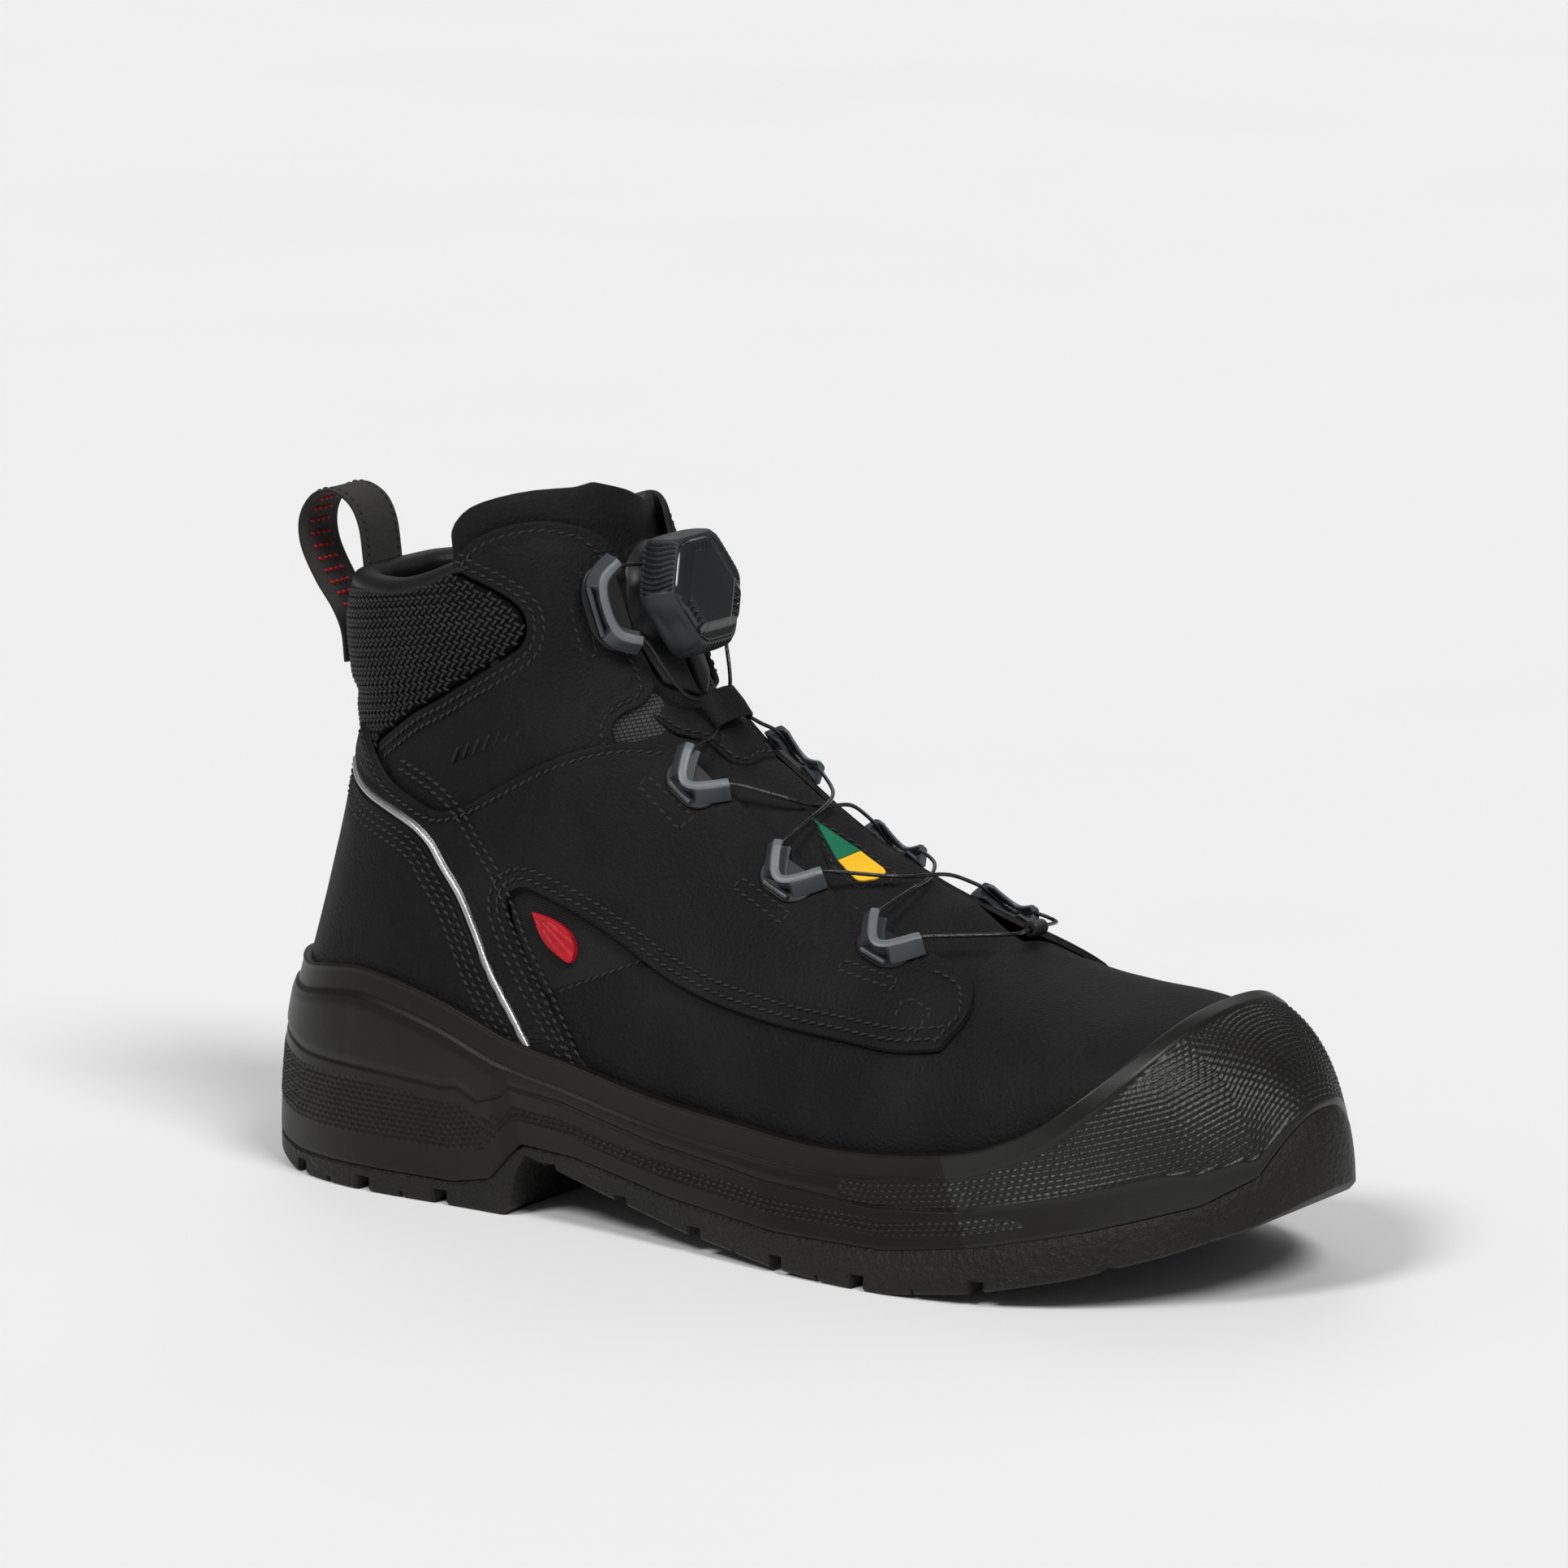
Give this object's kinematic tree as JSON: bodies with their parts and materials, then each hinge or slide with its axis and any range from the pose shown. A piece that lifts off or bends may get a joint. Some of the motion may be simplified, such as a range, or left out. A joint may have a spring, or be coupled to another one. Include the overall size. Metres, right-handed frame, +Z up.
{
  "type": "safety work boot",
  "caption": "Ankle-height safety work boot with lugged outsole, rubber toe bumper, padded mesh collar, heel pull loop and a dial that winds a lace cable through side guides.",
  "frame": {"origin": "centre of the footprint's bounding box, on the ground plane", "axes": "+X from heel to toe, +Y to the medial (inner) side, +Z up"},
  "size_m": [0.312, 0.1161, 0.188],
  "materials": {
    "nubuck": "matt nubuck",
    "mesh": "woven",
    "lining": "woven",
    "rubber": "satin moulded",
    "foam": "satin moulded",
    "steel": "painted inside",
    "board": "fibre board",
    "nylon": "moulded",
    "knob": "soft grip",
    "gloss": "polished",
    "cable": "coated steel cable",
    "reflective": "reflective piping",
    "webbing": "woven tape",
    "badge_red": "moulded",
    "tag_colour": "woven label"
  },
  "bodies": {
    "boot": {"ankle_panel_lateral": "nubuck", "ankle_panel_medial": "nubuck", "badge": "badge_red", "badge_panel_lateral": "mesh", "badge_panel_medial": "mesh", "cable_joiner": "nylon", "collar_lining": "lining", "collar_mesh": "mesh", "dial_base": "nylon", "footbed": "foam", "gusset_lateral": "mesh", "gusset_medial": "mesh", "heel_counter": "board", "heel_panel": "nubuck", "insole_board": "board", "lace": "cable", "lace_guide_1_lateral": "nylon", "lace_guide_1_medial": "nylon", "lace_guide_2_lateral": "nylon", "lace_guide_2_medial": "nylon", "lace_guide_3_lateral": "nylon", "lace_guide_3_medial": "nylon", "lace_guide_4_lateral": "nylon", "lace_guide_4_medial": "nylon", "lace_keeper": "nubuck", "midsole": "foam", "outsole": "rubber", "piping_lateral": "reflective", "piping_medial": "reflective", "pull_loop": "webbing", "puncture_plate": "steel", "quarter_lateral": "nubuck", "quarter_medial": "nubuck", "safety_tag": "tag_colour", "shank": "steel", "steel_toe_cap": "steel", "tag_patch": "nubuck", "toe_bumper": "rubber", "tongue": "nubuck", "tongue_shield": "nubuck", "vamp": "nubuck", "vamp_lining": "lining"},
    "dial_core": {"dial_core": "steel"},
    "dial_knob": {"knob_grip": "knob", "knob_cap": "gloss", "drive_disc": "nylon"},
    "cable_spool": {"spool": "nylon"}
  },
  "joints": [
    {"name": "dial_pull", "type": "slide", "parent": "boot", "child": "dial_core", "axis": [0.9659, 0, 0.2588], "range_m": [0, 0.0025]},
    {"name": "dial_turn", "type": "hinge", "parent": "dial_core", "child": "dial_knob", "pos_m": [-0.0406, 0, 0.1583], "axis": [0.9659, 0, 0.2588], "continuous": true},
    {"name": "spool_turn", "type": "hinge", "parent": "boot", "child": "cable_spool", "pos_m": [-0.0406, 0, 0.1583], "axis": [0.9659, 0, 0.2588], "continuous": true}
  ],
  "couplings": [
    {"joint": "spool_turn", "follows": "dial_turn", "ratio": 1}
  ]
}
